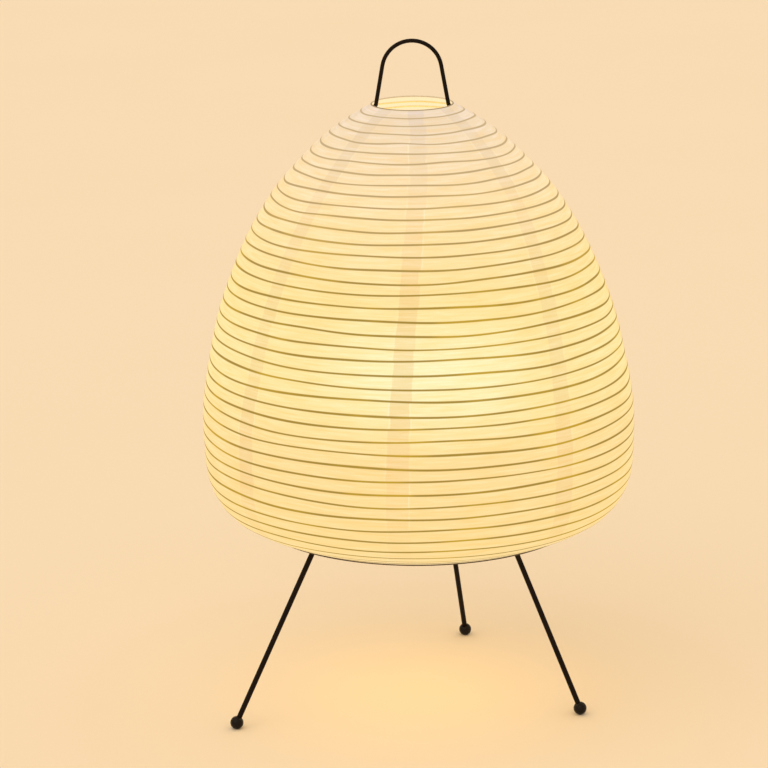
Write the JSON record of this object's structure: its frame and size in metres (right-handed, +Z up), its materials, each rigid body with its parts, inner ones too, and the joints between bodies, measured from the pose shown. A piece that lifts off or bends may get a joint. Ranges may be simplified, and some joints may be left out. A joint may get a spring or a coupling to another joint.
{
  "type": "paper table lamp",
  "caption": "Egg-shaped paper lantern shade on thin hoops, with a wire handle above its mouth, a screw bulb inside and three splayed rod legs with ball feet.",
  "frame": {"origin": "on the table, under the axis of the shade and bulb", "axes": "+Z up along the lamp's axis, -Y towards the viewer of the picture, +X to the viewer's right, across the handle"},
  "size_m": [0.2606, 0.2606, 0.406],
  "materials": {
    "paper": "matte, lit from inside",
    "rib": "matte",
    "black_wire": "satin",
    "ball": "satin",
    "steel": "zinc plated",
    "black_plastic": "satin",
    "white_insulator": "glazed",
    "brass": "bright",
    "dark_insulator": "gloss",
    "cap_metal": "satin",
    "white_plastic": "satin",
    "opal": "opal, lit"
  },
  "bodies": {
    "base": {"ball_feet": "ball", "left_leg": "black_wire", "right_leg": "black_wire", "rear_leg": "black_wire", "leg_nuts": "steel", "spider_plate": "black_wire", "stretcher_sleeves": "black_wire", "nipple": "steel", "nipple_nut": "steel", "cord_gland": "black_plastic", "holder_cup": "black_plastic", "holder_shell": "black_plastic", "holder_insert": "white_insulator", "screw_contact": "brass", "centre_contact": "brass", "terminal_screws": "brass"},
    "shade": {"stretcher": "black_wire", "top_ring": "black_wire", "rib_hoops": "rib", "paper_gores": "paper"},
    "hem": {"bottom_ring": "black_wire"},
    "eyelet": {"bulb_eyelet": "brass"},
    "bulb": {"bulb_insulator": "dark_insulator", "bulb_cap": "cap_metal", "bulb_housing": "white_plastic", "bulb_board": "cap_metal", "bulb_diffuser": "opal"}
  },
  "joints": [
    {"name": "stretcher_lift", "type": "slide", "parent": "base", "child": "shade", "axis": [0, 0, 1], "range_m": [0, 0.15]},
    {"name": "shade_raise", "type": "slide", "parent": "shade", "child": "hem", "axis": [0, 0, 1], "range_m": [0, 0.215], "deforming": ["rib_hoops", "paper_gores"]},
    {"name": "bulb_lift", "type": "slide", "parent": "base", "child": "eyelet", "axis": [0, 0, 1], "range_m": [0, 0.0218]},
    {"name": "bulb_turn", "type": "hinge", "parent": "eyelet", "child": "bulb", "pos_m": [0, 0, 0.15], "axis": [0, 0, 1], "range_deg": [0, 2160]}
  ],
  "couplings": [
    {"joint": "bulb_lift", "follows": "bulb_turn", "m_per_rad": 0.00057773}
  ]
}
